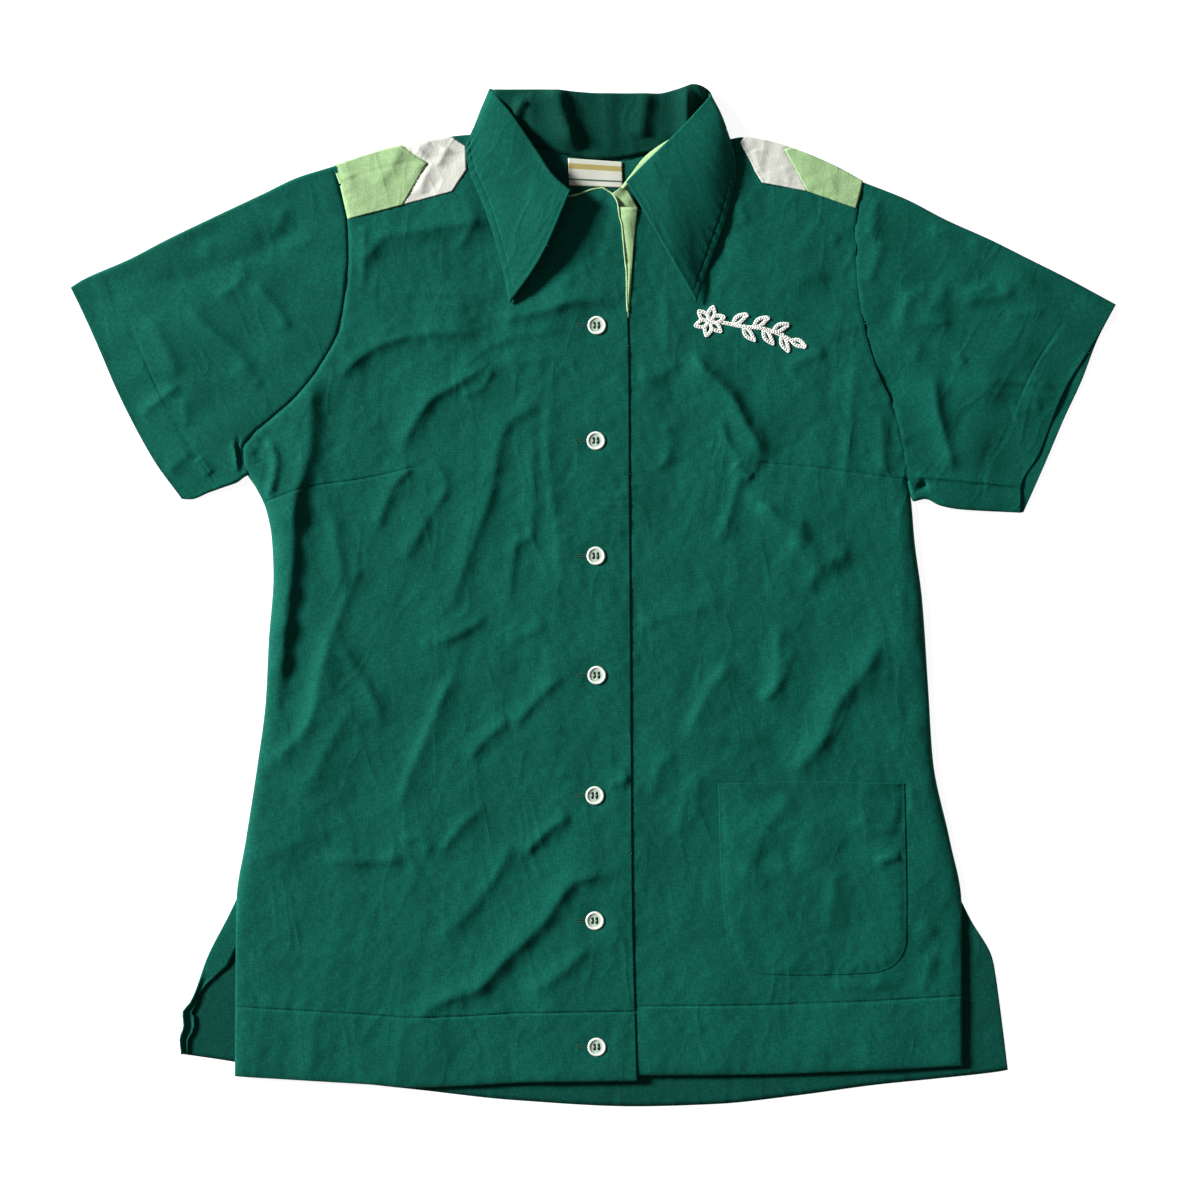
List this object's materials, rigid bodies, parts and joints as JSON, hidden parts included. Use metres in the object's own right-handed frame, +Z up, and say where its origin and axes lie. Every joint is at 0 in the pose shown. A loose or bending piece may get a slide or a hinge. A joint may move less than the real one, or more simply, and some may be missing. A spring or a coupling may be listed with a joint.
{
  "type": "bowling shirt",
  "caption": "Short-sleeved bowling shirt with an open camp collar, contrast shoulder inserts, a button front and a patch pocket, laid flat on its back.",
  "frame": {"origin": "centre of the footprint, on the surface that the shirt lies on", "axes": "+Z up off the surface, +Y from hem to collar, +X towards the wearer's left sleeve"},
  "size_m": [0.6794, 0.6633, 0.0152],
  "materials": {
    "dark_cloth": "plain-woven poplin, dark green",
    "light_cloth": "plain-woven poplin, light green",
    "white_cloth": "plain-woven poplin, off-white",
    "woven_label": "woven satin, blank",
    "pearl_button": "pearly cast polyester"
  },
  "bodies": {
    "root": {"back": "dark_cloth", "front_right": "dark_cloth", "front_left": "dark_cloth", "sleeve_right": "dark_cloth", "sleeve_left": "dark_cloth", "collar": "dark_cloth", "pocket": "dark_cloth", "facing_right": "light_cloth", "facing_left": "light_cloth", "insert_green_right": "light_cloth", "insert_green_left": "light_cloth", "insert_white_right": "white_cloth", "insert_white_left": "white_cloth", "label": "woven_label", "button_1": "pearl_button", "button_2": "pearl_button", "button_3": "pearl_button", "button_4": "pearl_button", "button_5": "pearl_button", "button_6": "pearl_button", "button_7": "pearl_button"}
  },
  "joints": []
}
